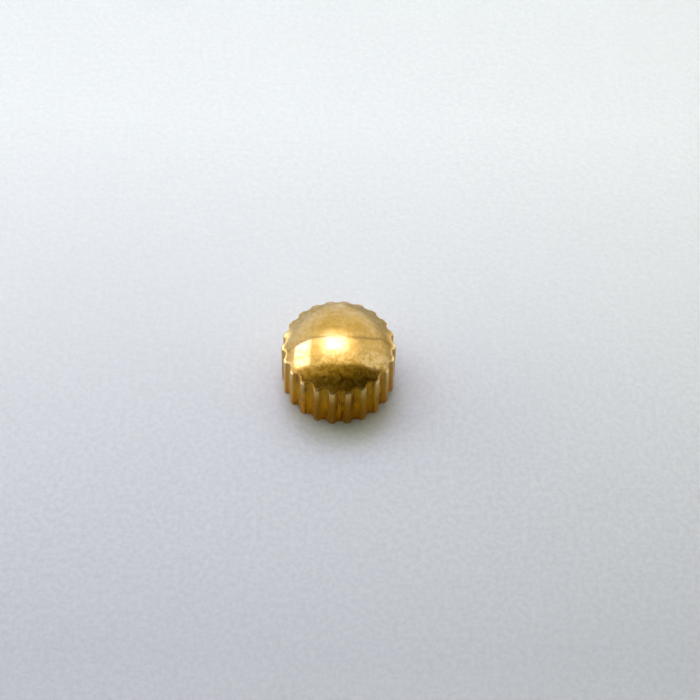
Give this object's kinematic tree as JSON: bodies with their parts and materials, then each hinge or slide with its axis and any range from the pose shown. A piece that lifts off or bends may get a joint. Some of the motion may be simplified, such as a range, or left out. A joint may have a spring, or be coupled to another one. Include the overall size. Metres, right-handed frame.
{
  "type": "watch crown",
  "caption": "Fluted, domed screw-down watch crown with a sprung hexagonal clutch post, tapped for the winding stem.",
  "frame": {"origin": "centre of the flat base that the crown stands on", "axes": "+Z along the crown's axis towards the dome, -Y towards the viewer of the picture"},
  "size_m": [0.006, 0.006, 0.0037],
  "materials": {
    "gilt": "worn polished gilt, finely pitted, tarnished in the flutes",
    "brass": "turned",
    "steel": "turned",
    "spring_steel": "drawn wire",
    "rubber": "moulded, matt"
  },
  "bodies": {
    "head": {"cap_shell": "gilt", "core_body": "brass", "thread_sleeve": "steel", "main_gasket": "rubber", "gasket_washer": "steel", "retaining_ring": "steel", "socket_bush": "brass", "spring_seat": "steel", "clutch_spring": "spring_steel"},
    "post": {"clutch_post": "steel", "slip_washer": "steel"}
  },
  "joints": [
    {"name": "post_plunge", "type": "slide", "parent": "head", "child": "post", "axis": [0, 0, 1], "range_m": [0, 0.0006], "stiffness_N_per_m": 1200, "springref_m": -0.0003, "deforming": ["clutch_spring"]}
  ]
}
